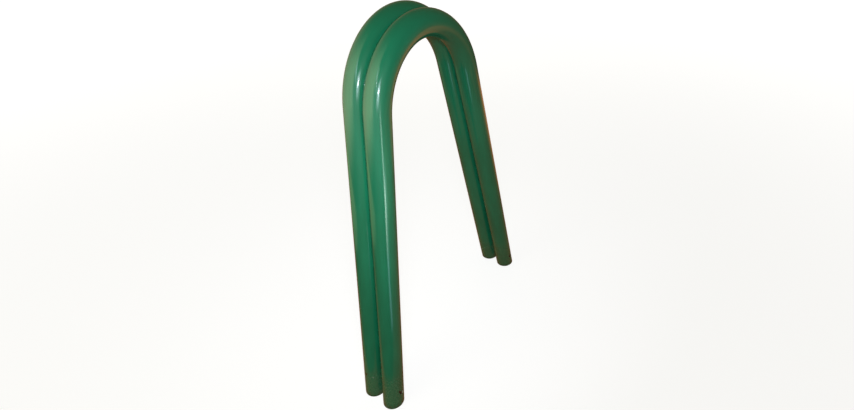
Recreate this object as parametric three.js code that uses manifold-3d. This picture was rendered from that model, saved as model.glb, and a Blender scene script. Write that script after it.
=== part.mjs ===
// Hoop bicycle rack of two bent steel tubes that stand side by side.
// The tubes lie against each other at the crown, part a little towards the feet,
// and are joined by stitch welds in the crease under the bend.
// Lengths are millimetres, +Z is up, the hoops open along Y and span along X.

import * as THREE from 'three';
import { mergeVertices } from 'three/addons/utils/BufferGeometryUtils.js';
import Module from 'manifold-3d';

const wasm = await Module();
wasm.setup();

// Driving dimensions
const frontHoopHeight = 985; // ground to the top of the front hoop
const tubeDiameter = 60.3; // outside, a two inch pipe
const tubeWall = 3.2;
const bendRadius = 181; // to the centre line of the tube
const legSplay = THREE.MathUtils.degToRad(12); // each leg from the vertical
const crownGap = 0.3; // fit between the two tubes where they touch
const footGap = 14; // between the tube walls at the ground
const rearRise = 6; // the rear hoop's crown above the front one's
const rearShift = 11; // the rear hoop towards +X from the front one
const anchorHoleDiameter = 13; // cross hole for a ground anchor rod
const anchorHoleHeight = 47; // hole axis above the ground
const weldBeadRadius = 6.5;
const weldLength = 46; // along the crease, without its rounded ends
const weldFit = 0.3; // between a bead and the tubes that it joins
const weldAngles = [-30, 0, 30].map((angle) => THREE.MathUtils.degToRad(angle));

// How finely round shapes are cut into flats
const tubeSides = 32;
const bendSteps = 36;
const holeSides = 24;
const beadSides = 14;
const beadSteps = 10;

// Half the crease is this share of a bead's radius wide at the bead's centre
const beadRootShare = 0.48;

// Sizes that follow from the driving ones
const tubeRadius = tubeDiameter / 2;
const boreRadius = tubeRadius - tubeWall;
const crownPitch = tubeDiameter + crownGap;
const frontCrownHeight = frontHoopHeight - tubeRadius; // centre line
const rearCrownHeight = frontCrownHeight + rearRise;
const meanCrownHeight = (frontCrownHeight + rearCrownHeight) / 2;
const lean = Math.asin((footGap - crownGap) / meanCrownHeight); // between the hoops
const cutterOverrun = tubeDiameter; // how far cutters and raw legs run past a cut

// Centre line of a hoop: leg, bend, leg, from its crown at the origin down in the XZ plane
class HoopLine extends THREE.Curve {
  constructor(legLength) {
    super();
    this.legLength = legLength;
  }

  // Angle on the bend from the crown, and distance down the leg, at t from 0 to 1
  place(t) {
    const station = t * (bendSteps + 2) - 1;
    const bendShare = THREE.MathUtils.clamp(station / bendSteps, 0, 1);
    const halfBend = Math.PI / 2 - legSplay;
    const down = Math.max(-station, station - bendSteps, 0) * this.legLength;
    return { angle: THREE.MathUtils.lerp(-halfBend, halfBend, bendShare), down };
  }

  getPoint(t, target = new THREE.Vector3()) {
    const { angle, down } = this.place(t);
    const side = Math.sign(angle);
    return target.set(
      bendRadius * Math.sin(angle) + side * down * Math.sin(legSplay),
      0,
      bendRadius * (Math.cos(angle) - 1) - down * Math.cos(legSplay)
    );
  }

  getTangent(t, target = new THREE.Vector3()) {
    const { angle } = this.place(t);
    return target.set(Math.cos(angle), 0, -Math.sin(angle));
  }

  // Steps fall on the stations above, so each straight leg is one step long
  getUtoTmapping(u) {
    return u;
  }
}

// Path of a weld bead in the crease under the bend, round an angle from the crown
class CreaseLine extends THREE.Curve {
  constructor(middleAngle) {
    super();
    this.middleAngle = middleAngle;
  }

  getPoint(t, target = new THREE.Vector3()) {
    const creaseHalfWidth = beadRootShare * weldBeadRadius;
    const depth = Math.sqrt(tubeRadius ** 2 - (crownPitch / 2 - creaseHalfWidth) ** 2);
    const angle = this.middleAngle + (t - 1 / 2) * (weldLength / (bendRadius - depth));
    const outwards = rearShift * Math.sin(angle) + rearRise * Math.cos(angle);
    const tilt = Math.atan2(outwards, crownPitch); // of the line between the tube centres
    const radius = bendRadius - depth * Math.cos(tilt);
    return target.set(
      radius * Math.sin(angle),
      depth * Math.sin(tilt),
      meanCrownHeight - bendRadius + radius * Math.cos(angle)
    );
  }
}

// Closed manifold solid of a geometry's positions
function toSolid(geometry) {
  const bare = geometry.clone();
  bare.deleteAttribute('normal');
  bare.deleteAttribute('uv');
  const merged = mergeVertices(bare);
  return new wasm.Manifold(
    new wasm.Mesh({
      numProp: 3,
      vertProperties: new Float32Array(merged.attributes.position.array),
      triVerts: new Uint32Array(merged.index.array),
    })
  );
}

function toGeometry(solid) {
  const { vertProperties, triVerts } = solid.getMesh();
  const geometry = new THREE.BufferGeometry();
  geometry.setAttribute('position', new THREE.BufferAttribute(vertProperties, 3));
  geometry.setIndex(new THREE.BufferAttribute(triVerts, 1));
  geometry.computeVertexNormals();
  return geometry;
}

function disc(radius) {
  const shape = new THREE.Shape();
  shape.absarc(0, 0, radius, 0, 2 * Math.PI, false);
  return shape;
}

// A full arc is cut into twice as many flats as curveSegments says
function sweep(shape, path, steps, sides) {
  return new THREE.ExtrudeGeometry(shape, {
    extrudePath: path,
    steps,
    curveSegments: sides / 2,
  });
}

// Leg from the end of the bend to past the ground, for a crown at a height
function rawLegLength(crownHeight) {
  const bendEndHeight = crownHeight - bendRadius * (1 - Math.sin(legSplay));
  return bendEndHeight / Math.cos(legSplay) + cutterOverrun;
}

// Distance of a leg's centre line from its hoop's middle, at a height above the ground
function legReach(crownHeight, height) {
  const bendEndHeight = crownHeight - bendRadius * (1 - Math.sin(legSplay));
  return bendRadius * Math.cos(legSplay) + (bendEndHeight - height) * Math.tan(legSplay);
}

// Everything below the ground
function groundCutter() {
  const reach = 2 * (legReach(rearCrownHeight, -cutterOverrun) + cutterOverrun);
  const deep = 3 * cutterOverrun;
  const box = new THREE.BoxGeometry(reach, reach, deep);
  box.translate(0, 0, -deep / 2);
  return box;
}

// Drill through the middle of one leg of a hoop, on the side given by its sign
function anchorDrill(hoop, crownHeight, side) {
  const length = crownPitch + footGap + 2 * cutterOverrun;
  const drill = new THREE.CylinderGeometry(
    anchorHoleDiameter / 2, anchorHoleDiameter / 2, length, holeSides
  );
  const reach = legReach(crownHeight, anchorHoleHeight);
  drill.translate(hoop.position.x + side * reach, 0, anchorHoleHeight);
  return drill;
}

function paint(name) {
  return new THREE.MeshStandardMaterial({
    name,
    color: 0x1f7a56,
    roughness: 0.28,
    metalness: 0,
  });
}

// Where a hoop stands: its crown's height, and -1 for the front hoop or 1 for the rear one
function placeHoop(object, crownHeight, side) {
  object.position.set((side * rearShift) / 2, (side * crownPitch) / 2, crownHeight);
  object.rotation.x = (side * lean) / 2;
  object.updateMatrixWorld();
}

function makeHoop(name, crownHeight, side) {
  const section = disc(tubeRadius);
  const bore = new THREE.Path();
  bore.absarc(0, 0, boreRadius, 0, 2 * Math.PI, true);
  section.holes.push(bore);
  const line = new HoopLine(rawLegLength(crownHeight));
  let solid = toSolid(sweep(section, line, bendSteps + 2, tubeSides));
  const hoop = new THREE.Mesh(undefined, paint('green_paint'));
  hoop.name = name;
  placeHoop(hoop, crownHeight, side);
  const toHoop = hoop.matrixWorld.clone().invert();
  const drills = [-1, 1].map((legSide) => anchorDrill(hoop, crownHeight, legSide));
  for (const cutter of [groundCutter(), ...drills]) {
    solid = solid.subtract(toSolid(cutter.applyMatrix4(toHoop)));
  }
  hoop.geometry = toGeometry(solid);
  return hoop;
}

// Solid rod a little fatter than a hoop's tube, in the rack's frame
function hoopClearance(crownHeight, side) {
  const line = new HoopLine(rawLegLength(crownHeight));
  const rod = sweep(disc(tubeRadius + weldFit), line, bendSteps + 2, tubeSides);
  const stand = new THREE.Object3D();
  placeHoop(stand, crownHeight, side);
  return toSolid(rod.applyMatrix4(stand.matrixWorld));
}

function makeWeld(name, angle, clearances) {
  const line = new CreaseLine(angle);
  let solid = toSolid(sweep(disc(weldBeadRadius), line, beadSteps, beadSides));
  for (const end of [line.getPoint(0), line.getPoint(1)]) {
    const cap = new THREE.SphereGeometry(weldBeadRadius, beadSides, beadSides / 2);
    solid = solid.add(toSolid(cap.translate(...end)));
  }
  for (const clearance of clearances) {
    solid = solid.subtract(clearance);
  }
  const weld = new THREE.Mesh(toGeometry(solid), paint('green_paint_weld'));
  weld.name = name;
  return weld;
}

const rack = new THREE.Group();
rack.add(makeHoop('front_hoop', frontCrownHeight, -1));
rack.add(makeHoop('rear_hoop', rearCrownHeight, 1));

const clearances = [
  hoopClearance(frontCrownHeight, -1),
  hoopClearance(rearCrownHeight, 1),
];
const weldNames = ['weld_near_shoulder', 'weld_crown', 'weld_far_shoulder'];
weldNames.forEach((name, index) => {
  rack.add(makeWeld(name, weldAngles[index], clearances));
});

// The origin is on the ground under the middle of the rack
const middle = new THREE.Box3().setFromObject(rack, true).getCenter(new THREE.Vector3());
rack.position.set(-middle.x, -middle.y, 0);

export default rack;
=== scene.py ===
# %% [markdown]
# # Hoop bicycle rack
#
# The rack is two steel tubes, each bent to an upside down U with splayed legs. They stand side by
# side, touch at the crown, and are held together by short weld beads in the crease under the bend.
# Both were then powder coated in gloss green.
#
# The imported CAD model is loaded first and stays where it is. Each cell after that takes one piece or
# one finish, says what it is on the real rack, and then makes it. Lengths are metres, +Z is up, and
# the hoops span along X.

import math

import bmesh
import bpy
from mathutils import Matrix, Vector


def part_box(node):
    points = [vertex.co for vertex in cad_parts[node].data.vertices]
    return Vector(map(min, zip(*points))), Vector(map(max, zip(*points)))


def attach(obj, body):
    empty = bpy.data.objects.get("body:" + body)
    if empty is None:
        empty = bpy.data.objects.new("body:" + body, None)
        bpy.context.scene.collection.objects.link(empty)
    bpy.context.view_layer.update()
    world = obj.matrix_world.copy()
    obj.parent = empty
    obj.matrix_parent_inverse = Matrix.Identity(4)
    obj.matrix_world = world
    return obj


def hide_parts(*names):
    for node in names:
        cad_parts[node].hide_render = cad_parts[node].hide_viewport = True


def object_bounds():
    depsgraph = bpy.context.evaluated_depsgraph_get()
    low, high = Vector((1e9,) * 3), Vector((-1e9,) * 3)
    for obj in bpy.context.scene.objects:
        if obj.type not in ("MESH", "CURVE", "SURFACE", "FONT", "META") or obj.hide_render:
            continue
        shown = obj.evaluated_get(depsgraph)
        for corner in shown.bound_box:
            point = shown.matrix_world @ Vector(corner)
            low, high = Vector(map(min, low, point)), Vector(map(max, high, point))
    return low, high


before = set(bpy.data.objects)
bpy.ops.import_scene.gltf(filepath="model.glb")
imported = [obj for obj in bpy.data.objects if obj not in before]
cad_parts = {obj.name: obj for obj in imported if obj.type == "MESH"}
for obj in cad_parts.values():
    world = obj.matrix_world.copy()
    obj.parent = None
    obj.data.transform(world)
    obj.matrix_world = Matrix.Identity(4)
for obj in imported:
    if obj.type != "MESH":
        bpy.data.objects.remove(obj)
cad_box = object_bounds()
print("CAD nodes:", sorted(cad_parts))
print("CAD box:", [[round(value, 4) for value in corner] for corner in cad_box])

# %% [markdown]
# ## Sizes of the tube
#
# A hoop is known once the pipe, its bend and its splay are known. The pipe is a two inch one with a
# 3.2 mm wall, bent to three times its diameter. Everything else, such as how high each hoop stands
# and how far it leans, is read from the box of its CAD node, so the pieces made here cannot drift
# away from the frame.

# %% Name the driving sizes
TUBE_RADIUS = 0.0603 / 2
TUBE_WALL = 0.0032
BORE_RADIUS = TUBE_RADIUS - TUBE_WALL
BEND_RADIUS = 0.181
LEG_SPLAY = math.radians(12)
HALF_BEND = math.pi / 2 - LEG_SPLAY
HALF_BEND_LENGTH = BEND_RADIUS * HALF_BEND
ANCHOR_HOLE_RADIUS = 0.0065
ANCHOR_HOLE_HEIGHT = 0.047
print(f"each bend is {2 * HALF_BEND_LENGTH * 1000:.0f} mm of tube on its centre line")

# %% [markdown]
# ## Camera
#
# The photograph was taken from a little above the rack, looking down along one side. The lens, place,
# tilt and shift of the camera were fitted to the outlines of the two tubes. A small lens shift
# slides the picture in its frame without turning the camera. The camera comes before the pieces,
# because it decides how fine a detail has to be.

# %% Set up the camera
CAMERA_PLACE = Vector((-0.8875, -0.7177, 1.2297))
CAMERA_TURN = math.radians(63.43)
CAMERA_TILT = math.radians(-39.77)
LENS = 0.01973
SENSOR_WIDTH = 0.036
SHIFT = (-0.1079, 0.0520)  # sideways and up, in widths of the picture
MILLIMETRES = 1000

camera_data = bpy.data.cameras.new("camera")
camera_data.sensor_width = SENSOR_WIDTH * MILLIMETRES
camera_data.lens = LENS * MILLIMETRES
camera_data.shift_x, camera_data.shift_y = SHIFT
camera = bpy.data.objects.new("camera", camera_data)
camera.location = CAMERA_PLACE
camera.rotation_euler = (math.pi / 2 + CAMERA_TILT, 0, -CAMERA_TURN)
bpy.context.scene.collection.objects.link(camera)
bpy.context.scene.camera = camera
print(f"camera: {CAMERA_PLACE.z:.2f} m high, looking {-math.degrees(CAMERA_TILT):.0f} degrees down")

# %% [markdown]
# ## The bent tube
#
# A tube bender starts from a straight length. It helps to think the same way: a point of the wall
# has a distance along the tube, measured from the crown, and an angle around it. The class below
# bends such a point into the rack, and straightens it again. The second way round is used later to
# lay the paint on the straight tube, so that its grain follows the bend without any seam.

# %% Bend and straighten points of a hoop
class Hoop:
    """One bent tube, placed from the box of its CAD node."""

    def __init__(self, node):
        low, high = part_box(node)
        self.node = node
        self.side = 1 if low.y + high.y > 0 else -1
        inner_face, outer_face = (low.y, high.y) if self.side > 0 else (high.y, low.y)
        crown = Vector(((low.x + high.x) / 2, inner_face + self.side * TUBE_RADIUS, high.z - TUBE_RADIUS))
        foot_y = outer_face - self.side * TUBE_RADIUS
        self.lean = math.atan2(foot_y - crown.y, crown.z)
        self.place = Matrix.Translation(crown) @ Matrix.Rotation(self.lean, 4, "X")
        self.back = self.place.inverted()

    def axes(self, along):
        """Middle, outward direction and running direction of the tube, before it is placed."""
        angle = max(-HALF_BEND, min(HALF_BEND, along / BEND_RADIUS))
        outward = Vector((math.sin(angle), 0, math.cos(angle)))
        running = Vector((math.cos(angle), 0, -math.sin(angle)))
        middle = BEND_RADIUS * (outward - Vector((0, 0, 1))) + (along - angle * BEND_RADIUS) * running
        return middle, outward, running

    def point(self, along, around, radius):
        middle, outward, _ = self.axes(along)
        spoke = Vector((0, 1, 0)) * math.sin(around) + outward * math.cos(around)
        return self.place @ (middle + radius * spoke)

    def straighten(self, point):
        """The same point on the straight tube: outward, sideways, along."""
        local = self.back @ point
        turn = math.atan2(local.x, local.z + BEND_RADIUS)
        angle = max(-HALF_BEND, min(HALF_BEND, turn))
        middle, outward, running = self.axes(angle * BEND_RADIUS)
        offset = local - middle
        return Vector((offset.dot(outward), local.y, angle * BEND_RADIUS + offset.dot(running)))

    def along_at_height(self, end, height):
        """Distance along the tube at which a leg's middle is at a height; end is -1 or 1."""
        start = self.place @ self.axes(end * HALF_BEND_LENGTH)[0]
        leg = self.leg(end)
        return end * (HALF_BEND_LENGTH + (height - start.z) / leg.z)

    def leg(self, end):
        """Direction down a leg, in the rack."""
        return end * (self.place.to_3x3() @ self.axes(end * HALF_BEND_LENGTH)[2])


front_hoop = Hoop("front_hoop")
rear_hoop = Hoop("rear_hoop")
for hoop in (front_hoop, rear_hoop):
    top = hoop.point(0, 0, TUBE_RADIUS)
    print(f"{hoop.node}: top at {top.z * 1000:.1f} mm, leans {math.degrees(hoop.lean):.2f} degrees")

# %% [markdown]
# ## Rings of the wall
#
# The wall is a grid: rings square to the tube, with the same number of points on each. A ring every
# few degrees keeps the bend round, and a straight leg needs only a few. Round each anchor hole the
# rings come close together, so that the hole can be let into even squares.

# %% Lay out the rings
RING_POINTS = 72
BEND_RINGS = 60
HOLE_RINGS = 5  # rings on each side of an anchor hole's middle
HOLE_RING_STEP = 0.0024
LEG_HEIGHTS = [0.014, 0.022, 0.030, 0.064, 0.075, 0.090, 0.110, 0.140, 0.180, 0.230, 0.290, 0.360, 0.440,
               0.520, 0.600, 0.680, 0.760]


def leg_stations(hoop, end):
    """Distances along the tube of a leg's rings, from the foot upwards."""
    hole = hoop.along_at_height(end, ANCHOR_HOLE_HEIGHT)
    near_hole = [hole + step * HOLE_RING_STEP for step in range(-HOLE_RINGS, HOLE_RINGS + 1)]
    others = [hoop.along_at_height(end, height) for height in LEG_HEIGHTS]
    return sorted(near_hole + others, key=lambda along: -abs(along))


def bend_stations():
    return [HALF_BEND_LENGTH * (2 * step / BEND_RINGS - 1) for step in range(BEND_RINGS + 1)]


def all_stations(hoop):
    return leg_stations(hoop, -1) + bend_stations() + leg_stations(hoop, 1)[::-1]


def around_angle(column):
    return 2 * math.pi * column / RING_POINTS


def ring_at(hoop, along, radius):
    return [hoop.point(along, around_angle(column), radius) for column in range(RING_POINTS)]


print("rings in a hoop's outer wall:", len(all_stations(front_hoop)))

# %% [markdown]
# ## Sawn ends
#
# The legs are sawn level with the ground, so the last rings are not square to the tube. Their points
# slide down the leg until they are at a given height. A saw leaves a sharp edge which the coater
# breaks, and a few rings on a quarter circle make that small round.

# %% Shape the sawn ends
EDGE_ROUND = 0.0006
EDGE_STEPS = 4


def ring_on_ground(hoop, end, radius, height):
    """A ring of the leg whose points have slid down to one height."""
    leg = hoop.leg(end)
    ring = ring_at(hoop, hoop.along_at_height(end, TUBE_RADIUS), radius)
    return [point + leg * ((height - point.z) / leg.z) for point in ring]


def sawn_edge(hoop, end):
    """Rings from the outside of the wall, round the sawn face, to the bore."""
    rings = []
    for radius, inward in ((TUBE_RADIUS, -1), (BORE_RADIUS, 1)):
        edge = []
        for step in range(EDGE_STEPS + 1):
            turn = math.pi / 2 * step / EDGE_STEPS
            inset = inward * EDGE_ROUND * (1 - math.cos(turn))
            edge.append(ring_on_ground(hoop, end, radius + inset, EDGE_ROUND * (1 - math.sin(turn))))
        rings += edge if inward < 0 else edge[::-1]
    return rings


print(f"sawn end: {len(sawn_edge(front_hoop, -1))} rings, edges rounded {EDGE_ROUND * 1000:.1f} mm")

# %% [markdown]
# ## Anchor holes
#
# A cross hole near each foot takes a rod that keeps the rack from being pulled out of the ground. It
# could be cut with a boolean, but that leaves a ring of slivers which shade badly. Here the squares
# around the hole are left out of the grid, and a square frame of points remains. This cell finds the
# frame: first the drill's line through the middle of the leg, then the nearest ring and column.

# %% Find the frame of a hole
HOLE_COLUMNS = 5  # columns on each side of the hole's middle


def anchor_x(hoop, end):
    """Where a leg's anchor hole is along X: in the middle of its own tube."""
    along = hoop.along_at_height(end, ANCHOR_HOLE_HEIGHT)
    return (hoop.place @ hoop.axes(along)[0]).x


def on_wall(hoop, end, x, z, wall, radius):
    """The point of a leg's wall that lies at x and z, on the wall that faces -Y or +Y."""
    leg = hoop.leg(end)
    start = hoop.place @ hoop.axes(end * HALF_BEND_LENGTH)[0]
    offset = Vector((x, 0, z)) - start
    square = 1 - leg.y ** 2
    linear = offset.y - offset.dot(leg) * leg.y
    constant = offset.length_squared - offset.dot(leg) ** 2 - radius ** 2
    root = math.sqrt(linear ** 2 - square * constant)
    return Vector((x, (-linear + wall * root) / square, z))


def frame_of_hole(hoop, end, wall, stations):
    """The rows and columns of the grid that a hole's square frame takes."""
    hole_along = hoop.along_at_height(end, ANCHOR_HOLE_HEIGHT)
    row = min(range(len(stations)), key=lambda index: abs(stations[index] - hole_along))
    centre = on_wall(hoop, end, anchor_x(hoop, end), ANCHOR_HOLE_HEIGHT, wall, TUBE_RADIUS)
    straight = hoop.straighten(centre)
    column = round(math.atan2(straight.y, straight.x) / around_angle(1))
    rows = range(row - HOLE_RINGS, row + HOLE_RINGS + 1)
    columns = [index % RING_POINTS for index in range(column - HOLE_COLUMNS, column + HOLE_COLUMNS + 1)]
    return rows, columns


def frame_loop(rows, columns):
    """Row and column of each point once round the square frame."""
    first, last = rows[0], rows[-1]
    loop = [(first, column) for column in columns[:-1]]
    loop += [(row, columns[-1]) for row in rows[:-1]]
    loop += [(last, column) for column in columns[:0:-1]]
    loop += [(row, columns[0]) for row in rows[:0:-1]]
    return loop


for hoop in (front_hoop, rear_hoop):
    places = [round(anchor_x(hoop, end) * 1000, 1) for end in (-1, 1)]
    print(f"{hoop.node}: anchor holes {places} mm from the middle")

# %% [markdown]
# ## Lip of a hole
#
# A drilled hole is bare at its edge, and the coater breaks that edge too. The gap between the square
# frame and the drilled circle is filled with rings that go from one to the other, over a rounded
# lip, and into the wall. The same is done on the bore, so the two can meet inside the wall.

# %% Let a hole into the wall
LIP_ROUND = 0.0005
LIP_STEPS = 3
SPOKE_SHARES = (0.6, 0.25)  # of the way from the lip to the square frame


def hole_rings(hoop, end, wall, radius, depth_sign, frame_points):
    """Rings from the square frame to the drilled circle, on the outside or on the bore."""
    x, z = anchor_x(hoop, end), ANCHOR_HOLE_HEIGHT
    angles = [math.atan2(point.z - z, point.x - x) for point in frame_points]

    def circle(size, depth):
        ring = []
        for angle in angles:
            point = on_wall(hoop, end, x + size * math.cos(angle), z + size * math.sin(angle), wall, radius)
            ring.append(point - Vector((0, wall * depth_sign * depth, 0)))
        return ring

    lip = circle(ANCHOR_HOLE_RADIUS + LIP_ROUND, 0)
    rings = []
    for share in SPOKE_SHARES:
        ring = []
        for edge, square in zip(lip, frame_points):
            between = edge.lerp(square, share)
            ring.append(on_wall(hoop, end, between.x, between.z, wall, radius))
        rings.append(ring)
    rings.append(lip)
    for step in range(1, LIP_STEPS + 1):
        turn = math.pi / 2 * step / LIP_STEPS
        size = ANCHOR_HOLE_RADIUS + LIP_ROUND * (1 - math.sin(turn))
        rings.append(circle(size, LIP_ROUND * (1 - math.cos(turn))))
    return rings


print(f"hole's lip: rounded {LIP_ROUND * 1000:.1f} mm in {LIP_STEPS} steps")

# %% [markdown]
# ## From rings to a mesh
#
# Rings of points become a mesh in bmesh, Blender's toolbox for meshes that are made point by point.
# A band of squares joins one closed loop to the next, and squares are left out where a hole comes.
# Each point also keeps its place on the straight tube in an attribute called straight_tube, which
# the paint reads later. Other ways, such as a curve with a round bevel, are shorter but can't hold
# the sawn ends and the holes.

# %% Helpers for meshes
def bridge(mesh, first, second, skip=()):
    """Squares between two closed loops of vertices."""
    count = len(first)
    for index in range(count):
        if index not in skip:
            after = (index + 1) % count
            mesh.faces.new((first[index], first[after], second[after], second[index]))


def bridge_all(mesh, loops):
    """Bands of squares from each loop to the next."""
    for first, second in zip(loops, loops[1:]):
        bridge(mesh, first, second)


def add_ring(mesh, points):
    return [mesh.verts.new(point) for point in points]


def keep_straight_places(mesh, hoop):
    straight = mesh.verts.layers.float_vector.new("straight_tube")
    for vertex in mesh.verts:
        vertex[straight] = hoop.straighten(vertex.co)


def into_scene(mesh, name):
    """An object of a finished bmesh."""
    data = bpy.data.meshes.new(name)
    mesh.to_mesh(data)
    mesh.free()
    thing = bpy.data.objects.new(name, data)
    bpy.context.scene.collection.objects.link(thing)
    return thing


def finish_piece(mesh, hoop, name):
    """A smooth piece of the rack, with its places on the straight tube."""
    keep_straight_places(mesh, hoop)
    bmesh.ops.recalc_face_normals(mesh, faces=mesh.faces)
    open_edges = [edge for edge in mesh.edges if len(edge.link_faces) != 2]
    print(f"{name}: {len(mesh.faces)} faces, {len(open_edges)} open edges, "
          f"{mesh.calc_volume() * 1e6:.2f} cubic centimetres")
    piece = into_scene(mesh, name)
    piece.data.shade_smooth()
    return piece


# %% [markdown]
# ## The whole hoop
#
# Outer wall, sawn ends, bore and holes are joined into one closed skin. A closed skin has an inside,
# so it can be measured, printed and simulated, and no face of it is stray. First come the two walls,
# with squares left out for the holes, then the sawn ends, and last the lining of each hole.

# %% Build the hoops
def mark_out_holes(hoop, stations):
    """End, wall and frame of each hole, and the columns that each row of squares leaves out."""
    holes = []
    left_out = {}
    for end in (-1, 1):
        for wall in (-1, 1):
            rows, columns = frame_of_hole(hoop, end, wall, stations)
            holes.append((end, wall, frame_loop(rows, columns)))
            for row in rows[:-1]:
                left_out.setdefault(row, set()).update(columns[:-1])
    return holes, left_out


def line_hole(mesh, hoop, hole, outer, bore):
    """Bands from the outer wall over the lip and through the wall to the bore."""
    end, wall, loop = hole
    sides = []
    for grid, radius, depth_sign in ((outer, TUBE_RADIUS, 1), (bore, BORE_RADIUS, -1)):
        square = [grid[row][column] for row, column in loop]
        points = [vertex.co for vertex in square]
        rings = hole_rings(hoop, end, wall, radius, depth_sign, points)
        sides.append([square] + [add_ring(mesh, ring) for ring in rings])
    bridge_all(mesh, sides[0] + sides[1][::-1])


def build_hoop(hoop, name):
    mesh = bmesh.new()
    stations = all_stations(hoop)
    outer = [add_ring(mesh, ring_at(hoop, along, TUBE_RADIUS)) for along in stations]
    bore = [add_ring(mesh, ring_at(hoop, along, BORE_RADIUS)) for along in stations]
    holes, left_out = mark_out_holes(hoop, stations)
    for grid in (outer, bore):
        for row in range(len(stations) - 1):
            bridge(mesh, grid[row], grid[row + 1], left_out.get(row, ()))
    for end, row in ((-1, 0), (1, -1)):
        edge = [add_ring(mesh, points) for points in sawn_edge(hoop, end)]
        bridge_all(mesh, [outer[row], *edge, bore[row]])
    for hole in holes:
        line_hole(mesh, hoop, hole, outer, bore)
    return finish_piece(mesh, hoop, name)


front_tube = build_hoop(front_hoop, "front_tube")
rear_tube = build_hoop(rear_hoop, "rear_tube")

# %% [markdown]
# ## The crease
#
# Under the bend the two tubes form a crease. Weld metal is round in section and sinks into it until
# both tubes stop it. So the bead is a disc whose middle lies where the crease is about half as wide
# as the disc, and each direction from that middle meets either the free face of the bead or a tube.
# The cell below finds the middle, and how far it is to a tube in a direction.

# %% Find the bead's middle in the crease
BEAD_RADIUS = 0.0065
BEAD_ROOT_SHARE = 0.48  # half the crease's width at the bead's middle, in bead radii


def crease_axes(angle):
    """Middles of both tubes at an angle on the bend, as points in the rack."""
    return [hoop.place @ hoop.axes(angle * BEND_RADIUS)[0] for hoop in (front_hoop, rear_hoop)]


def bead_middle(angle):
    """Middle of the bead's disc, in the crease under the two tubes."""
    front, rear = crease_axes(angle)
    across = rear - front
    inward = Vector((-math.sin(angle), 0, -math.cos(angle)))
    inward = (inward - across * inward.dot(across) / across.length_squared).normalized()
    half_gap = BEAD_ROOT_SHARE * BEAD_RADIUS
    depth = math.sqrt(TUBE_RADIUS ** 2 - (across.length / 2 - half_gap) ** 2)
    return (front + rear) / 2 + inward * depth, across.normalized(), inward


def to_circle(middle, direction, centre, radius):
    """Distance from middle along direction to a circle, or None where it misses."""
    offset = centre - middle
    forward = offset.dot(direction)
    miss = offset.length_squared - forward ** 2
    if forward < 0 or miss > radius ** 2:
        return None
    return forward - math.sqrt(radius ** 2 - miss)


CREASE_MIDDLE = bead_middle(0)[0]
print(f"the crown's crease is {CREASE_MIDDLE.z * 1000:.1f} mm above the ground")

# %% [markdown]
# ## Weld beads
#
# Three stitches of weld hold the tubes together. A bead is laid down as a row of overlapping drops,
# so it has ripples across it, bowed like fish scales, and a rounded start and end. One loop over the
# directions gives a ring of it, cut short where a tube is met, and no boolean is needed.

# %% Build the weld beads
BEAD_LENGTH = 0.046
BEAD_POINTS = 40
RIPPLE_PITCH = 0.0026
RIPPLE_DEPTH = 0.00045
RIPPLE_BOW = 0.6  # how far a ripple trails at its sides, in pitches
ROWS_PER_RIPPLE = 7
FUSED = 0.0002  # the bead reaches this far into a tube
BEADS = {
    "near_shoulder_bead": ("weld_near_shoulder", -30),
    "crown_bead": ("weld_crown", 0),
    "far_shoulder_bead": ("weld_far_shoulder", 30),
}


def bead_ring(angle, travel):
    """One ring of a bead; travel is the distance from its start."""
    middle, across, inward = bead_middle(angle)
    length = BEAD_LENGTH + 2 * BEAD_RADIUS
    from_end = max(0.0, BEAD_RADIUS - min(travel, length - travel))
    size = math.sqrt(max(0.0, BEAD_RADIUS ** 2 - from_end ** 2))
    ring = []
    for step in range(BEAD_POINTS):
        turn = 2 * math.pi * step / BEAD_POINTS
        direction = across * math.sin(turn) + inward * math.cos(turn)
        phase = travel / RIPPLE_PITCH + RIPPLE_BOW * (1 - math.cos(turn))
        ripple = RIPPLE_DEPTH * (2 * (phase % 1) - 1) ** 4
        reach = max(size - min(ripple, size / 2), 0.0)
        for centre in crease_axes(angle):
            met = to_circle(middle, direction, centre, TUBE_RADIUS - FUSED)
            if met is not None:
                reach = min(reach, met)
        ring.append(middle + direction * reach)
    return ring


def build_bead(name, degrees):
    mesh = bmesh.new()
    length = BEAD_LENGTH + 2 * BEAD_RADIUS
    bend_middle = Vector((0, 0, cad_box[1].z - TUBE_RADIUS - BEND_RADIUS))
    line_radius = (CREASE_MIDDLE - bend_middle).length
    rows = round(length / RIPPLE_PITCH * ROWS_PER_RIPPLE)
    rings = []
    for row in range(1, rows):
        travel = length * row / rows
        angle = math.radians(degrees) + (travel - length / 2) / line_radius
        rings.append(add_ring(mesh, bead_ring(angle, travel)))
    bridge_all(mesh, rings)
    mesh.faces.new(rings[0])
    mesh.faces.new(rings[-1][::-1])
    return finish_piece(mesh, front_hoop, name)


beads = {name: build_bead(name, degrees) for name, (_, degrees) in BEADS.items()}

# %% [markdown]
# ## Tools for materials
#
# A material is a small network of nodes, and each node has many sockets. A few short helpers keep the
# recipes below readable. One adds a node with its inputs, one gives cloudy noise, and one turns a
# range of values into a soft mask between 0 and 1.

# %% Helpers for node materials
def add_node(tree, kind, inputs=(), **settings):
    """A shader node with its settings; its inputs are numbers, colours or sockets of other nodes."""
    made = tree.nodes.new(kind)
    for name, value in settings.items():
        setattr(made, name, value)
    for name, value in dict(inputs).items():
        if isinstance(value, bpy.types.NodeSocket):
            tree.links.new(value, made.inputs[name])
        else:
            made.inputs[name].default_value = value
    return made


def maths(tree, operation, *values):
    made = add_node(tree, "ShaderNodeMath", dict(enumerate(values)), operation=operation)
    return made.outputs[0]


def length_of(tree, vector):
    return add_node(tree, "ShaderNodeVectorMath", {0: vector}, operation="LENGTH").outputs["Value"]


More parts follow.
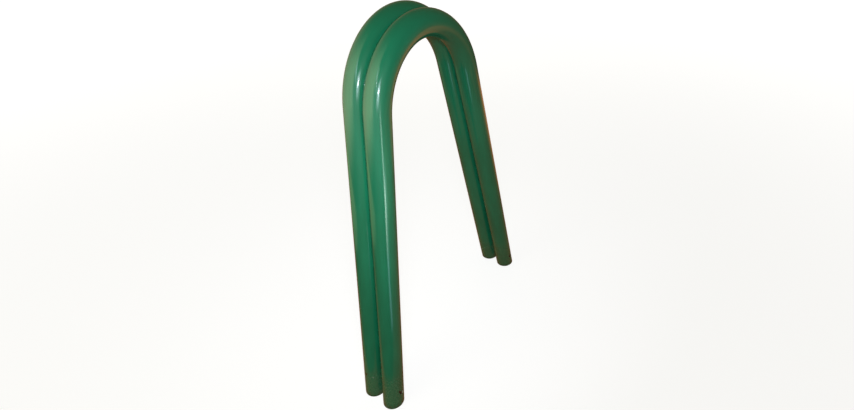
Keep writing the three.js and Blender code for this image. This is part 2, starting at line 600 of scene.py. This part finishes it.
def clouds(tree, where, per_metre, detail=2.0):
    """Noise from 0 to 1; per_metre is how many blobs fit in a metre along each axis of the vector."""
    scaled = add_node(tree, "ShaderNodeMapping", {"Vector": where, "Scale": per_metre})
    noise = add_node(tree, "ShaderNodeTexNoise", {
        "Vector": scaled.outputs["Vector"], "Scale": 1.0, "Detail": detail,
    })
    return noise.outputs[0]


def mask(tree, value, zero_at, one_at):
    """A soft step: 0 where value is zero_at, 1 where it is one_at."""
    made = add_node(tree, "ShaderNodeMapRange", {
        "Value": value, "From Min": zero_at, "From Max": one_at,
    }, interpolation_type="SMOOTHSTEP")
    return made.outputs[0]


def blend(tree, factor, first, second):
    """Colour that goes from first to second as factor goes from 0 to 1."""
    made = add_node(tree, "ShaderNodeMix", {"Factor": factor, "A": first, "B": second}, data_type="RGBA")
    return made.outputs["Result"]


def new_material(name):
    material = bpy.data.materials.new(name)
    material.use_nodes = True
    material.node_tree.nodes.clear()
    return material, material.node_tree


# %% [markdown]
# ## Marks of use
#
# Steel furniture is knocked about when it is moved. A few small marks are placed one by one where
# they are seen on the real rack: a knock and a hole's lip with dirt in them, a pale scuff, and bare
# metal in the wall of the anchor hole. One more dark mark is painted shade, in the crease where the
# front leg meets the rear one. Each is an oval on the straight tube, given by its angle round the
# tube, its distance from the crown and its half width and half length. A little noise on the
# distance from its middle keeps the oval from looking stamped.
#
# The angles and distances were worked out by a program outside this file, which carried places in the
# photograph onto the fitted tubes. Two of the marks were then moved.

# %% Place the marks
MARK_COLOURS = {
    # dirt_and_shade is the near black of real dirt in the knocks. It is also painted shade: the mark in the
    # crease between the legs, and the discs inside the feet. It also darkens specks near the ground.
    "dirt_and_shade": (0.010, 0.013, 0.008, 1),
    "scuff": (0.16, 0.26, 0.18, 1),
    "metal": (0.36, 0.38, 0.25, 1),
}
MARK_ROUGHNESS = {"dirt_and_shade": 0.2, "scuff": 0.6, "metal": 0.45}
FRONT_MARKS = [
    # Painted shade: a dark mark in the crease towards the rear tube, where shade falls between the legs.
    ("dirt_and_shade", 27.3, -0.933, 0.0016, 0.0045),
    ("dirt_and_shade", -75.5, -1.0205, 0.0024, 0.0050),
    ("metal", -101.0, -1.0310, 0.0034, 0.0036),
]
REAR_MARKS = [
    ("dirt_and_shade", 11.9, -1.006, 0.0020, 0.0050),
    ("scuff", -30.7, -1.011, 0.0024, 0.0018),
]
MARK_EDGE_SHARE = 0.35  # how far noise moves a mark's edge, of its size
MARK_RIM_SHARE = 0.15  # half the width of its soft rim, of its size
MARK_GRAIN = (700, 700, 700)


def mark(tree, tube, degrees, along, half_width, half_length):
    """1 inside an oval mark on the straight tube, 0 outside."""
    turn = math.radians(degrees)
    middle = Vector((TUBE_RADIUS * math.cos(turn), TUBE_RADIUS * math.sin(turn), along))
    shares = Vector((1 / half_width, 1 / half_width, 1 / half_length))
    oval = add_node(tree, "ShaderNodeMapping", {
        "Vector": tube, "Scale": shares, "Location": -middle * shares,
    })
    rough = clouds(tree, tube, MARK_GRAIN)
    from_middle = length_of(tree, oval.outputs["Vector"])
    away = maths(tree, "MULTIPLY_ADD", rough, 2 * MARK_EDGE_SHARE, from_middle)
    edge = 1 + MARK_EDGE_SHARE
    return mask(tree, away, edge + MARK_RIM_SHARE, edge - MARK_RIM_SHARE)


print(f"marks: {len(FRONT_MARKS)} on the front tube, {len(REAR_MARKS)} on the rear tube")

# %% [markdown]
# ## Colour and dust
#
# Powder coat is one green all over, but its film is a little thicker here and thinner there, which
# shows as slow changes of depth. Near the ground a film of dust turns the green to olive. It is denser
# in specks, and its upper edge wanders. The lowest two centimetres are darker, in specks.

# %% Helpers for colour and dust
PAINT_DEEP = (0.0085, 0.150, 0.069, 1)
PAINT_FRESH = (0.0105, 0.182, 0.086, 1)
DUST = (0.115, 0.105, 0.042, 1)
FILM_BLOBS = (18, 18, 5)
FILM_RANGE = (0.3, 0.7)
DUST_EDGE_BLOBS = (34, 34, 14)
DUST_WANDER = 0.09
DUST_FADE = (0.070, -0.005)  # above the dust's height: where there is none, and all of it
SPECK_BLOBS = (420, 420, 260)
PATCHY = (0.35, 0.75)
DUST_SHARE = 0.12  # of dust colour between the specks
SPECK_SHARE = 0.20  # added in a speck
LOW_DARK_FADE = (0.024, 0.004)  # heights with none of the darkening, and with all of it
LOW_DARK_SPECK_RANGE = (0.2, 0.7)
LOW_DARK_SHARE = 0.75


def film_colour(tree, tube):
    film = clouds(tree, tube, FILM_BLOBS)
    return blend(tree, mask(tree, film, *FILM_RANGE), PAINT_DEEP, PAINT_FRESH)


def dust_masks(tree, tube, height, dust_top):
    """How much dust lies on the paint, and its specks, both from 0 to 1."""
    wander = maths(tree, "MULTIPLY", clouds(tree, tube, DUST_EDGE_BLOBS, 4.0), DUST_WANDER)
    low = maths(tree, "ADD", height, wander)
    none_at, all_at = DUST_FADE
    dust = mask(tree, low, dust_top + none_at, dust_top + all_at)
    specks = mask(tree, clouds(tree, tube, SPECK_BLOBS, 4.0), *PATCHY)
    density = maths(tree, "MULTIPLY_ADD", specks, SPECK_SHARE, DUST_SHARE)
    return maths(tree, "MULTIPLY", dust, density), specks


def low_dark_mask(tree, height, specks):
    low_dark = maths(tree, "MULTIPLY", mask(tree, height, *LOW_DARK_FADE), mask(tree, specks, *LOW_DARK_SPECK_RANGE))
    return maths(tree, "MULTIPLY", low_dark, LOW_DARK_SHARE)


print(f"dust covers {DUST_SHARE:.0%} of the green, and {DUST_SHARE + SPECK_SHARE:.0%} in a speck")

# %% [markdown]
# ## Bare steel
#
# Where the pipe was sawn and drilled there is no paint, only dark and rusty steel. On the straight
# tube that is simple to say: paint is only on the outside, so all that is nearer to the axis is bare.

# %% Helpers for bare steel
STEEL = (0.17, 0.145, 0.11, 1)
RUST = (0.060, 0.024, 0.010, 1)
PAINT_ENDS = (0.00012, 0.00032)  # depths in the wall between which the paint thins out
RUST_BLOBS = (240, 240, 160)
RUST_RANGE = (0.38, 0.60)


def bare_mask(tree, tube):
    flat = add_node(tree, "ShaderNodeVectorMath", {0: tube, 1: (1, 1, 0)}, operation="MULTIPLY")
    from_axis = length_of(tree, flat.outputs["Vector"])
    return mask(tree, from_axis, *(TUBE_RADIUS - depth for depth in PAINT_ENDS))


def steel_colour(tree, tube):
    rust = mask(tree, clouds(tree, tube, RUST_BLOBS, 4.0), *RUST_RANGE)
    return blend(tree, rust, STEEL, RUST)


print(f"bare steel starts {PAINT_ENDS[0] * 1000:.2f} mm inside the outer wall")

# %% [markdown]
# ## Orange peel and a paint run
#
# Powder coat is a thick, even film. Seen close it has orange peel: shallow bumps a few millimetres
# across that make mirrored edges wander, on waves that are longer and higher. The film is laid on
# the straight tube, so the peel keeps its size round the bend. It is far too shallow for a mesh, so
# it is a bump. On the front tube one run of paint, a thin ridge, has dried below the shoulder.

# %% Helpers for the paint's relief
PEEL_BLOBS = (170, 170, 170)
PEEL_HEIGHT = 0.00003
WAVE_BLOBS = (26, 26, 14)
WAVE_IN_PEELS = 4.0  # height of the long waves, in heights of the peel
RUN_HEIGHT = 0.00025
RUN_ANGLE = math.radians(-28.4)
RUN_ALONG = -0.171
RUN_HALF_WIDTH = 0.0011
RUN_FADE = (0.020, 0.012)  # from its middle along the tube: where it ends, and where it is full
RUN_SIDE = (0.010, 0.016)  # outward of the tube's axis: no run, and all of it
RUN_WOBBLE = 0.0022
RUN_BLOBS = (1, 1, 90)


def paint_run(tree, tube):
    """Height from 0 to 1 of the run of paint on the front tube."""
    place = add_node(tree, "ShaderNodeSeparateXYZ", {0: tube}).outputs
    wobble = maths(tree, "MULTIPLY", clouds(tree, tube, RUN_BLOBS, 1.0), RUN_WOBBLE)
    across = maths(tree, "ADD", place["Y"], wobble)
    line = TUBE_RADIUS * math.sin(RUN_ANGLE) + RUN_WOBBLE / 2
    off = maths(tree, "ABSOLUTE", maths(tree, "SUBTRACT", across, line))
    past_middle = maths(tree, "ABSOLUTE", maths(tree, "SUBTRACT", place["Z"], RUN_ALONG))
    ridge = mask(tree, off, RUN_HALF_WIDTH, 0.0)
    ridge = maths(tree, "MULTIPLY", ridge, mask(tree, past_middle, *RUN_FADE))
    return maths(tree, "MULTIPLY", ridge, mask(tree, place["X"], *RUN_SIDE))


def paint_relief(tree, tube, run):
    """Height of the paint, in heights of the peel."""
    peel = clouds(tree, tube, PEEL_BLOBS, 1.0)
    waves = clouds(tree, tube, WAVE_BLOBS, 1.0)
    relief = maths(tree, "MULTIPLY_ADD", waves, WAVE_IN_PEELS, peel)
    if run:
        relief = maths(tree, "MULTIPLY_ADD", paint_run(tree, tube), RUN_HEIGHT / PEEL_HEIGHT, relief)
    return relief


print(f"peel: {PEEL_HEIGHT * 1000:.2f} mm high, {1000 / PEEL_BLOBS[0]:.1f} mm from bump to bump")

# %% [markdown]
# ## Green paint
#
# Now the layers come together. The gloss is sharp and even, a little duller where hands and wheels
# have rubbed it, and dust dulls it much more. Then the bare cuts go on, and the marks on top of all.
# Each kind of piece gets its own copy, because the dust on the two tubes ends at different heights,
# and only the front one has a run. The beads have no cuts, so theirs leaves out the bare steel.

# %% Mix the green paint
GLOSS = 0.10
RUBBED = 0.05
DUSTY = 0.9
DULL = 0.6
RUB_BLOBS = (22, 22, 9)
PAINT_IOR = 1.5
FRONT_DUST_TOP = 0.132
REAR_DUST_TOP = 0.100


def green_paint(name, dust_top, marks=(), bare_cuts=True, run=False):
    """The paint of one kind of piece; dust_top is the height where dust begins."""
    material, tree = new_material(name)
    tube = add_node(tree, "ShaderNodeAttribute", attribute_name="straight_tube").outputs["Vector"]
    place = add_node(tree, "ShaderNodeTexCoord").outputs["Object"]
    height = add_node(tree, "ShaderNodeSeparateXYZ", {0: place}).outputs["Z"]

    colour = film_colour(tree, tube)
    dust, specks = dust_masks(tree, tube, height, dust_top)
    colour = blend(tree, dust, colour, DUST)
    rubbed = mask(tree, clouds(tree, tube, RUB_BLOBS, 4.0), *PATCHY)
    roughness = maths(tree, "MULTIPLY_ADD", rubbed, RUBBED, GLOSS)
    roughness = maths(tree, "MULTIPLY_ADD", dust, DUSTY, roughness)
    # The lowest two centimetres go darker in specks.
    colour = blend(tree, low_dark_mask(tree, height, specks), colour, MARK_COLOURS["dirt_and_shade"])

    if bare_cuts:
        bare = bare_mask(tree, tube)
        colour = blend(tree, bare, colour, steel_colour(tree, tube))
        roughness = maths(tree, "MAXIMUM", roughness, maths(tree, "MULTIPLY", bare, DULL))

    for kind, degrees, along, half_width, half_length in marks:
        spot = mark(tree, tube, degrees, along, half_width, half_length)
        colour = blend(tree, spot, colour, MARK_COLOURS[kind])
        roughness = maths(tree, "MAXIMUM", roughness, maths(tree, "MULTIPLY", spot, MARK_ROUGHNESS[kind]))

    bump = add_node(tree, "ShaderNodeBump", {
        "Height": paint_relief(tree, tube, run), "Strength": 1.0, "Distance": PEEL_HEIGHT,
    })
    shader = add_node(tree, "ShaderNodeBsdfPrincipled", {
        "Base Color": colour, "Roughness": roughness, "Normal": bump.outputs[0], "IOR": PAINT_IOR,
    })
    add_node(tree, "ShaderNodeOutputMaterial", {"Surface": shader.outputs["BSDF"]})
    print(f"{name}: {len(tree.nodes)} nodes")
    return material


front_tube.data.materials.append(green_paint("front_tube_paint", FRONT_DUST_TOP, FRONT_MARKS, run=True))
rear_tube.data.materials.append(green_paint("rear_tube_paint", REAR_DUST_TOP, REAR_MARKS))
bead_paint = green_paint("bead_paint", REAR_DUST_TOP, bare_cuts=False)
for bead in beads.values():
    bead.data.materials.append(bead_paint)

# %% [markdown]
# ## Floor and background
#
# The rack stands on a plain pale floor that runs out to white. A dark floor would be seen in the gloss,
# and a lit white one would throw too much light back up. So the floor itself is a light grey that
# takes the shadows, and a glow is added that only the camera, reflections and glass see. It gives no
# light to the rack.

# %% Lay the floor
FLOOR_RADIUS = 14.0
FLOOR_SIDES = 96
FLOOR_GREY = 0.28
GLOW_NEAR = (0.8, 0.85)  # metres from the middle, and strength
GLOW_FAR = (5.0, 1.0)


def seen_directly(tree):
    """1 for rays that show the background: from the camera, in a gloss and through glass."""
    path = add_node(tree, "ShaderNodeLightPath")
    seen = maths(tree, "MAXIMUM", path.outputs["Is Camera Ray"], path.outputs["Is Glossy Ray"])
    return maths(tree, "MAXIMUM", seen, path.outputs["Is Transmission Ray"])


def build_floor():
    mesh = bmesh.new()
    turns = [2 * math.pi * step / FLOOR_SIDES for step in range(FLOOR_SIDES)]
    rim = [FLOOR_RADIUS * Vector((math.cos(turn), math.sin(turn), 0)) for turn in turns]
    mesh.faces.new(add_ring(mesh, rim))
    floor = into_scene(mesh, "floor")
    material, tree = new_material("pale_floor")
    place = add_node(tree, "ShaderNodeTexCoord").outputs["Object"]
    far = mask(tree, length_of(tree, place), GLOW_NEAR[0], GLOW_FAR[0])
    glow = maths(tree, "MULTIPLY_ADD", far, GLOW_FAR[1] - GLOW_NEAR[1], GLOW_NEAR[1])
    pale = add_node(tree, "ShaderNodeBsdfDiffuse", {"Color": (FLOOR_GREY, FLOOR_GREY, FLOOR_GREY, 1)})
    light = add_node(tree, "ShaderNodeEmission", {
        "Strength": maths(tree, "MULTIPLY", glow, seen_directly(tree)),
    })
    both = add_node(tree, "ShaderNodeAddShader", {0: pale.outputs[0], 1: light.outputs[0]})
    add_node(tree, "ShaderNodeOutputMaterial", {"Surface": both.outputs[0]})
    floor.data.materials.append(material)


build_floor()
print(f"floor: {2 * FLOOR_RADIUS:.0f} m across")

# %% [markdown]
# ## Dark inside the feet
#
# The legs are open tubes, so the floor's glow would shine up inside them and out of the anchor holes,
# where the real tubes are dark. A dark disc on the floor inside each leg stops that. It is as wide
# as the bore and part of the rounded edge, so no pale ring is left round it.

# %% Shade the floor inside the feet
SHADE_HEIGHT = 0.0001


def shade_inside_foot(hoop, end):
    """A dark disc on the floor inside a leg, where no light gets in."""
    mesh = bmesh.new()
    ring = ring_on_ground(hoop, end, BORE_RADIUS + EDGE_ROUND / 2, SHADE_HEIGHT)
    mesh.faces.new(add_ring(mesh, ring))
    shade = into_scene(mesh, f"shade_in_{hoop.node}_{'near' if end < 0 else 'far'}_leg")
    material, tree = new_material(shade.name)
    # Painted shade: the disc has the near black of the dirt marks, where no light gets in.
    dark = add_node(tree, "ShaderNodeBsdfDiffuse", {"Color": MARK_COLOURS["dirt_and_shade"]})
    add_node(tree, "ShaderNodeOutputMaterial", {"Surface": dark.outputs[0]})
    shade.data.materials.append(material)


for hoop in (front_hoop, rear_hoop):
    for end in (-1, 1):
        shade_inside_foot(hoop, end)
print(f"dark discs: {SHADE_HEIGHT * 1000:.1f} mm above the floor")

# %% [markdown]
# ## Even light
#
# Most of the light in a room comes from everywhere, bounced off walls, floor and ceiling, which makes
# it a little warm. The world gives it. What the camera and reflections see of the world is white,
# whatever its level and colour as a light.

# %% Set the world
WORLD_FILL = 0.225
WORLD_TINT = (1.05, 0.96, 0.65, 1)
WHITE = (1, 1, 1, 1)

world = bpy.data.worlds.new("studio")
world.use_nodes = True
bpy.context.scene.world = world
world_tree = world.node_tree
world_tree.nodes.clear()
seen = seen_directly(world_tree)
level = maths(world_tree, "MULTIPLY_ADD", seen, 1 - WORLD_FILL, WORLD_FILL)
tint = blend(world_tree, seen, WORLD_TINT, WHITE)
sky = add_node(world_tree, "ShaderNodeBackground", {"Color": tint, "Strength": level})
add_node(world_tree, "ShaderNodeOutputWorld", {"Surface": sky.outputs[0]})
print(f"world: {WORLD_FILL} of white as a light, white where it is seen")

# %% [markdown]
# ## Lamps
#
# The real picture was taken with a small flash beside the lens. It makes the sharp white glints on the
# shoulders, and it is why the near legs are so much brighter than the far ones. Its light is a cone
# aimed at the near leg, so the corners get less. It is made of two lamps in one place: a small one
# that the gloss shows, which keeps the glints small, and a wider one with most of the power.
#
# Two large soft lamps, one on each side, shape the tubes a little and light the views from behind. A
# flash is cooler than the light of a room, so the lamps have two colours. Only the small flash is
# seen in the gloss. All else that the gloss should mirror is built in the next cells. The powers
# started from a fit to the photograph, made outside this file, and were then changed by hand.

# %% Set the lamps
RACK_MIDDLE = Vector((0, 0, 0.6))
NEAR_LEG = Vector((-0.25, 0, 0.64))
ABOVE_LENS = CAMERA_PLACE + Vector((0, 0, 0.04))
FLASH_CONE = 80
COOL = (0.95, 1.0, 1.15)
WARM = (1.0, 0.97, 0.75)


def area_lamp(name, place, size, power, colour, target=RACK_MIDDLE, glossy=False, cone=180):
    """A round lamp of a size in metres and a power in watts; its cone is in degrees."""
    data = bpy.data.lights.new(name, "AREA")
    data.shape = "DISK"
    data.size = size
    data.energy = power
    data.color = colour
    data.spread = math.radians(cone)
    lamp = bpy.data.objects.new(name, data)
    lamp.location = place
    lamp.rotation_mode = "QUATERNION"
    lamp.rotation_quaternion = (target - place).to_track_quat("-Z", "Y")
    lamp.visible_camera = False
    lamp.visible_glossy = glossy
    bpy.context.scene.collection.objects.link(lamp)


def from_rack(turn, rise, distance):
    """A place seen from the middle of the rack; turn is from +Y towards +X."""
    turn, rise = math.radians(turn), math.radians(rise)
    level = math.cos(rise) * distance
    return RACK_MIDDLE + Vector((level * math.sin(turn), level * math.cos(turn), math.sin(rise) * distance))


area_lamp("flash", ABOVE_LENS, 0.12, 0.5, COOL, target=NEAR_LEG, glossy=True, cone=FLASH_CONE)
area_lamp("flash_spill", ABOVE_LENS, 0.30, 2.3, COOL, target=NEAR_LEG, cone=FLASH_CONE)
area_lamp("left_lamp", from_rack(-68, 25, 2.3), 1.8, 8.0, WARM)
area_lamp("right_lamp", from_rack(55, 15, 3.0), 2.0, 4.0, WARM)
print(f"flash to near leg: {(ABOVE_LENS - NEAR_LEG).length:.2f} m")

# %% [markdown]
# ## What the gloss mirrors
#
# A glossy green tube shows the room round it as thin bands. A bright pale wall on the left gives the
# broad sage bands, the glow round the flash gives the glints their soft edge, and a brown floor gives
# the dull edges on the right. A bright gap with its streak of light on the floor gives the long pale
# line down the front leg.
#
# Instead of a whole room, a dome and a few sheets glow. Only reflections see them. They give no light
# and throw no shadow, so they change the gloss and nothing else. Each vertex has its own glow, in an
# attribute, and Blender blends it over the faces between.
#
# Many numbers in the next cells started from fits of such patches and sheets to the colours in the
# photograph, made outside this file, and most of them were then changed by hand after test renders.
# The four strengths of the floor's sheen are a fit's own.

# %% Helper for what glows
def glowing(mesh, glows, name):
    """An object that only reflections see; glows are red, green and blue for each vertex."""
    layer = mesh.verts.layers.float_vector.new("glow")
    for vertex, glow in zip(mesh.verts, glows):
        vertex[layer] = glow
    sheet = into_scene(mesh, name)
    material, tree = new_material(name)
    glow = add_node(tree, "ShaderNodeAttribute", attribute_name="glow").outputs["Color"]
    light = add_node(tree, "ShaderNodeEmission", {"Color": glow, "Strength": 1.0})
    add_node(tree, "ShaderNodeOutputMaterial", {"Surface": light.outputs[0]})
    sheet.data.materials.append(material)
    sheet.visible_camera = False
    sheet.visible_diffuse = False
    sheet.visible_transmission = False
    sheet.visible_volume_scatter = False
    sheet.visible_shadow = False


# %% [markdown]
# ## Dome of the room
#
# The walls, the lamps and the bright gap are soft patches on a dome round the rack. A patch has its
# middle in degrees round from +Y towards +X and up, and its reach to each side. A reach is a width in
# degrees with a power, which says how sharply the glow ends there: 2 is a soft spot, 8 a clear edge.
# Tilt turns the patch's edges up or down to one side, in degrees for each degree.

# %% Paint the dome
DOME_RADIUS = 2.8
DOME_MIDDLE = Vector((0, 0, 0.7))
DOME_TURNS = 144
DOME_RISES = 56
DOME_LOWEST = -20
PATCHES = {
    "pale_wall": {"turn": -58, "rise": 26, "tilt": -0.20, "left": (40.5, 8), "right": (53, 1.6),
                  "up": (37, 2.6), "down": (33, 10), "glow": Vector((2.75, 2.70, 1.65))},
    "left_room": {"turn": -125, "rise": 12, "tilt": 0, "left": (40, 3), "right": (40, 3),
                  "up": (34, 3), "down": (24, 3), "glow": Vector((0.90, 1.00, 0.90))},
    "flash_halo": {"turn": -132, "rise": 23, "tilt": 0, "left": (9, 4), "right": (9, 4),
                   "up": (11, 4), "down": (12, 3), "glow": Vector((7.0, 8.3, 9.5))},
    "lamp_shade": {"turn": -104, "rise": 42, "tilt": 1.1, "left": (10, 4), "right": (8, 4),
                   "up": (5, 2), "down": (5, 2), "glow": Vector((5.0, 6.5, 7.0))},
    "door_gap": {"turn": -148, "rise": -12, "tilt": 0, "left": (4.4, 4), "right": (3.8, 4),
                 "up": (14, 2), "down": (12, 4), "glow": Vector((5.0, 6.0, 5.8))},
    "warm_room": {"turn": 160, "rise": -27, "tilt": 0, "left": (38, 2), "right": (55, 2),
                  "up": (24, 2), "down": (25, 2), "glow": Vector((0.75, 0.34, 0.12))},
}
DOME_GLOW = Vector((0.12, 0.08, 0.04))


def soft_patch(patch, turn, rise):
    """Share of a patch's glow in a direction, from 1 in its middle down to 0."""
    aside = (turn - patch["turn"] + 180) % 360 - 180
    above = rise - patch["rise"] - patch["tilt"] * aside
    width, side_power = patch["left"] if aside < 0 else patch["right"]
    tall, rise_power = patch["up"] if above > 0 else patch["down"]
    return math.exp(-abs(aside / width) ** side_power - abs(above / tall) ** rise_power)


def build_dome():
    mesh = bmesh.new()
    glows = []
    rings = []
    for row in range(DOME_RISES):
        rise = DOME_LOWEST + (90 - DOME_LOWEST) * row / DOME_RISES
        ring = []
        for column in range(DOME_TURNS):
            turn = 360 * column / DOME_TURNS
            level = math.cos(math.radians(rise))
            direction = Vector((
                level * math.sin(math.radians(turn)), level * math.cos(math.radians(turn)),
                math.sin(math.radians(rise)),
            ))
            ring.append(mesh.verts.new(DOME_MIDDLE + DOME_RADIUS * direction))
            glows.append(sum((patch["glow"] * soft_patch(patch, turn, rise) for patch in PATCHES.values()),
                             DOME_GLOW))
        rings.append(ring)
    bridge_all(mesh, rings)
    mesh.faces.new(rings[-1])
    glowing(mesh, glows, "room_dome")


build_dome()
print(f"dome: {DOME_RADIUS} m, patches: {', '.join(PATCHES)}")

# %% [markdown]
# ## Sheets and strips on the floor
#
# The lower half of what the tubes mirror is the floor. Its lit and dim parts are four cornered sheets,
# with one strength for each corner. The streak of light is a strip, given by stops that each have a
# place, a half width and a strength, with a fainter and wider strip under it for its edge. They lie
# in layers a fraction of a millimetre apart, and the top one is what a reflection meets.

# %% Lay the sheets and strips
LAYER_STEP = 0.0004
BROWN = (1.0, 0.36, 0.12)
SAGE = (1.0, 1.1, 0.50)
WINDOW = (1.0, 1.2, 1.1)
SKY = (1.0, 1.4, 1.7)


def floor_sheet(name, layer, corners, colour, strengths):
    mesh = bmesh.new()
    mesh.faces.new([mesh.verts.new((x, y, layer * LAYER_STEP)) for x, y in corners])
    glowing(mesh, [Vector(colour) * strength for strength in strengths], name)


def floor_strip(name, layer, colour, stops):
    mesh = bmesh.new()
    points = [Vector((x, y, layer * LAYER_STEP)) for x, y, _, _ in stops]
    glows = []
    rows = []
    for index, (point, (_, _, half_width, strength)) in enumerate(zip(points, stops)):
        before, after = points[max(index - 1, 0)], points[min(index + 1, len(points) - 1)]
        side = (after - before).cross(Vector((0, 0, 1))).normalized() * half_width
        rows.append([mesh.verts.new(point + side), mesh.verts.new(point - side)])
        glows += [Vector(colour) * strength] * 2
    for (left, right), (next_left, next_right) in zip(rows, rows[1:]):
        mesh.faces.new((left, right, next_right, next_left))
    glowing(mesh, glows, name)


floor_sheet(
    "dim_floor_left", 1, [(-3, -3), (-0.5, -3), (-0.5, 3), (-3, 3)], BROWN, [0.45, 0.20, 0.08, 0.30],
)
floor_sheet(
    "brown_floor_right", 1, [(-0.5, -3), (3, -3), (3, 3), (-0.5, 3)], BROWN, [0.50, 0.90, 0.10, 0.25],
)
floor_sheet(
    "lit_floor_right", 2, [(0.9, -1.3), (2.5, -1.3), (2.5, 0.2), (0.9, 0.2)], BROWN, [0.4, 1.3, 2.0, 0.6],
)
floor_sheet(
    "lit_floor_front", 2, [(-1.1, -2.7), (1.2, -2.7), (0.9, -1.3), (-0.9, -1.3)], BROWN,
    [1.1, 0.4, 0.3, 1.1],
)
floor_sheet(
    "floor_sheen", 2, [(-2.3, 1.0), (0.2, 1.0), (0.6, 2.7), (-1.6, 2.7)], SAGE, [0.92, 0.23, 0.64, 1.34],
)
floor_strip("streak_edge", 3, WINDOW, [
    (-1.06, -2.38, 0.40, 1.4), (-0.94, -2.04, 0.38, 1.7), (-0.86, -1.64, 0.36, 1.6),
    (-0.82, -1.30, 0.30, 1.1), (-0.76, -1.08, 0.24, 0.8), (-0.66, -0.90, 0.16, 0.6),
])
floor_strip("window_streak", 4, WINDOW, [
    (-1.35, -2.27, 0.22, 6.0), (-1.20, -1.97, 0.22, 9.5), (-1.08, -1.57, 0.17, 8.5),
    (-1.01, -1.24, 0.14, 4.6), (-0.93, -1.06, 0.12, 2.6),
])
floor_strip("sky_streak", 4, SKY, [
    (-0.93, -1.06, 0.12, 2.3), (-0.83, -0.92, 0.11, 1.6), (-0.75, -0.78, 0.10, 1.3),
    (-0.67, -0.66, 0.09, 1.25), (-0.60, -0.55, 0.08, 1.1), (-0.56, -0.44, 0.08, 0.7),
])

# %% [markdown]
# ## Attach the pieces
#
# Each piece is hung under an empty for the body called root, and the CAD node that it stands for is
# hidden.

# %% Attach the pieces and hide their CAD nodes
for hoop, tube in ((front_hoop, front_tube), (rear_hoop, rear_tube)):
    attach(tube, "root")
    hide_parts(hoop.node)
for name, bead in beads.items():
    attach(bead, "root")
    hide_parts(BEADS[name][0])

bpy.context.scene.view_settings.view_transform = "Standard"
